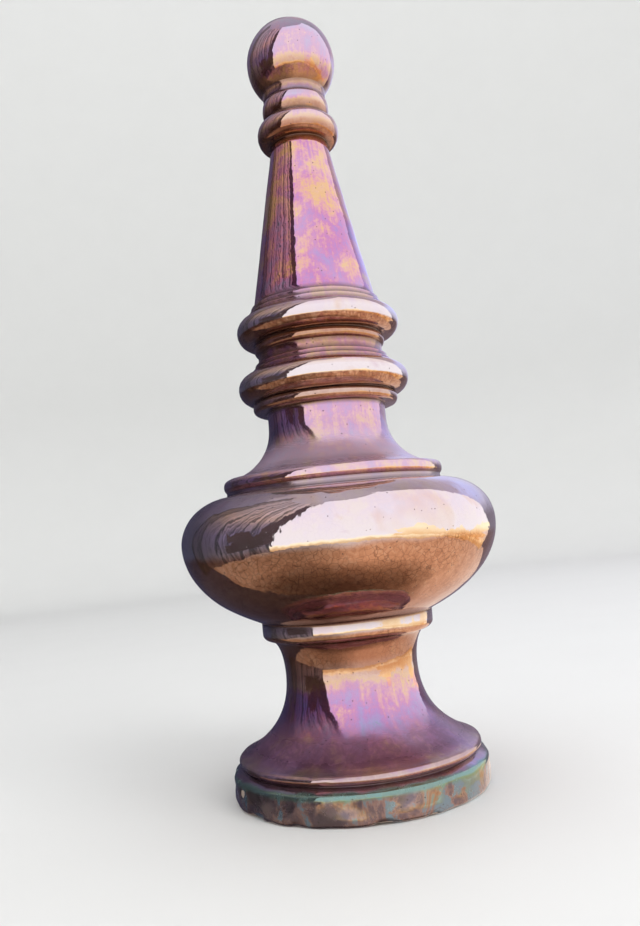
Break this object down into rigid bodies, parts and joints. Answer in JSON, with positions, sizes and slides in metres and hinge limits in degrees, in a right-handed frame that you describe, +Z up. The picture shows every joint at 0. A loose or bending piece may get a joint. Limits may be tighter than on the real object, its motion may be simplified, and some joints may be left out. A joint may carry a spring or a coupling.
{
  "type": "roof finial",
  "caption": "Hollow turned roof finial in copper-lustre glazed terracotta: plinth, waisted foot, full bulge, torus rings, tapering spire and ball.",
  "frame": {"origin": "centre of the underside, at the height of the flat rim the finial stands on", "axes": "+Z up along the axis of turning, towards the ball; +Y away from the side that the picture shows"},
  "size_m": [0.1972, 0.1972, 0.499],
  "materials": {
    "copper_lustre_glaze": "iridescent copper lustre over fired clay, mirror-bright with fine crackle, pits and gold, rose, violet and blue clouds"
  },
  "bodies": {
    "root": {"finial": "copper_lustre_glaze"}
  },
  "joints": []
}
